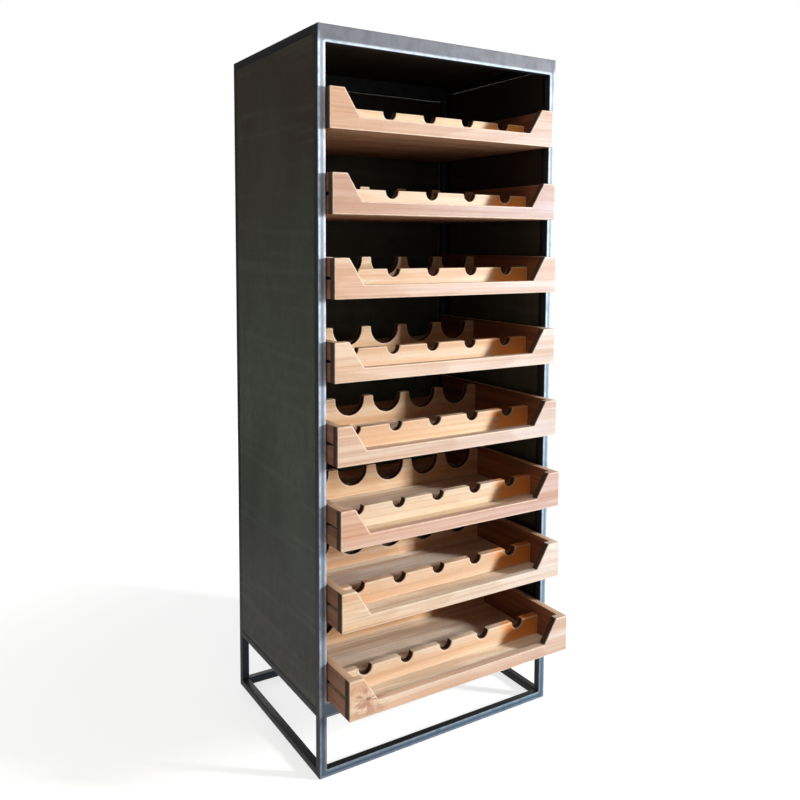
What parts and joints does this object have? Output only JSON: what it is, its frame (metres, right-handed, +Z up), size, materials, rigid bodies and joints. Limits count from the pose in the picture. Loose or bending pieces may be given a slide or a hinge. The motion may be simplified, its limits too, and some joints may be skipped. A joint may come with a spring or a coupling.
{
  "type": "wine cabinet",
  "caption": "Tall open-fronted steel wine cabinet with a square-tube frame and pull-out wooden drawers notched to cradle bottles lying down.",
  "frame": {"origin": "on the floor, at the middle of the space that the cabinet and its pulled-out drawers take up", "axes": "+Z up, -Y towards the open front where the drawers come out, +X to the right for someone who faces the front"},
  "size_m": [0.7, 0.618, 1.75],
  "materials": {
    "frame_steel": "satin steel tube with rounded, brighter corners",
    "panel_steel": "dark, slightly mottled satin sheet",
    "rack_steel": "dark satin steel",
    "front_wood": "pale sanded teak, oiled",
    "board_wood": "sanded teak, oiled"
  },
  "bodies": {
    "cabinet": {"front_frame": "frame_steel", "rear_frame": "frame_steel", "left_floor_rail": "frame_steel", "right_floor_rail": "frame_steel", "left_runner_rack": "rack_steel", "right_runner_rack": "rack_steel", "left_side_panel": "panel_steel", "right_side_panel": "panel_steel", "back_panel": "panel_steel", "bottom_panel": "panel_steel", "top_panel": "panel_steel"},
    "drawer_1": {"drawer_1_front": "front_wood", "drawer_1_left_side": "board_wood", "drawer_1_right_side": "board_wood", "drawer_1_floor": "board_wood", "drawer_1_neck_rail": "board_wood", "drawer_1_bottle_rail": "board_wood"},
    "drawer_2": {"drawer_2_front": "front_wood", "drawer_2_left_side": "board_wood", "drawer_2_right_side": "board_wood", "drawer_2_floor": "board_wood", "drawer_2_neck_rail": "board_wood", "drawer_2_bottle_rail": "board_wood"},
    "drawer_3": {"drawer_3_front": "front_wood", "drawer_3_left_side": "board_wood", "drawer_3_right_side": "board_wood", "drawer_3_floor": "board_wood", "drawer_3_neck_rail": "board_wood", "drawer_3_bottle_rail": "board_wood"},
    "drawer_4": {"drawer_4_front": "front_wood", "drawer_4_left_side": "board_wood", "drawer_4_right_side": "board_wood", "drawer_4_floor": "board_wood", "drawer_4_neck_rail": "board_wood", "drawer_4_bottle_rail": "board_wood"},
    "drawer_5": {"drawer_5_front": "front_wood", "drawer_5_left_side": "board_wood", "drawer_5_right_side": "board_wood", "drawer_5_floor": "board_wood", "drawer_5_neck_rail": "board_wood", "drawer_5_bottle_rail": "board_wood"},
    "drawer_6": {"drawer_6_front": "front_wood", "drawer_6_left_side": "board_wood", "drawer_6_right_side": "board_wood", "drawer_6_floor": "board_wood", "drawer_6_neck_rail": "board_wood", "drawer_6_bottle_rail": "board_wood"},
    "drawer_7": {"drawer_7_front": "front_wood", "drawer_7_left_side": "board_wood", "drawer_7_right_side": "board_wood", "drawer_7_floor": "board_wood", "drawer_7_neck_rail": "board_wood", "drawer_7_bottle_rail": "board_wood"},
    "drawer_8": {"drawer_8_front": "front_wood", "drawer_8_left_side": "board_wood", "drawer_8_right_side": "board_wood", "drawer_8_floor": "board_wood", "drawer_8_neck_rail": "board_wood", "drawer_8_bottle_rail": "board_wood"}
  },
  "joints": [
    {"name": "drawer_1_slide", "type": "slide", "parent": "cabinet", "child": "drawer_1", "axis": [0, -1, 0], "range_m": [-0.017, 0.313]},
    {"name": "drawer_2_slide", "type": "slide", "parent": "cabinet", "child": "drawer_2", "axis": [0, -1, 0], "range_m": [-0.03, 0.3]},
    {"name": "drawer_3_slide", "type": "slide", "parent": "cabinet", "child": "drawer_3", "axis": [0, -1, 0], "range_m": [-0.039, 0.291]},
    {"name": "drawer_4_slide", "type": "slide", "parent": "cabinet", "child": "drawer_4", "axis": [0, -1, 0], "range_m": [-0.039, 0.291]},
    {"name": "drawer_5_slide", "type": "slide", "parent": "cabinet", "child": "drawer_5", "axis": [0, -1, 0], "range_m": [-0.052, 0.278]},
    {"name": "drawer_6_slide", "type": "slide", "parent": "cabinet", "child": "drawer_6", "axis": [0, -1, 0], "range_m": [-0.068, 0.262]},
    {"name": "drawer_7_slide", "type": "slide", "parent": "cabinet", "child": "drawer_7", "axis": [0, -1, 0], "range_m": [-0.073, 0.257]},
    {"name": "drawer_8_slide", "type": "slide", "parent": "cabinet", "child": "drawer_8", "axis": [0, -1, 0], "range_m": [-0.108, 0.222]}
  ]
}
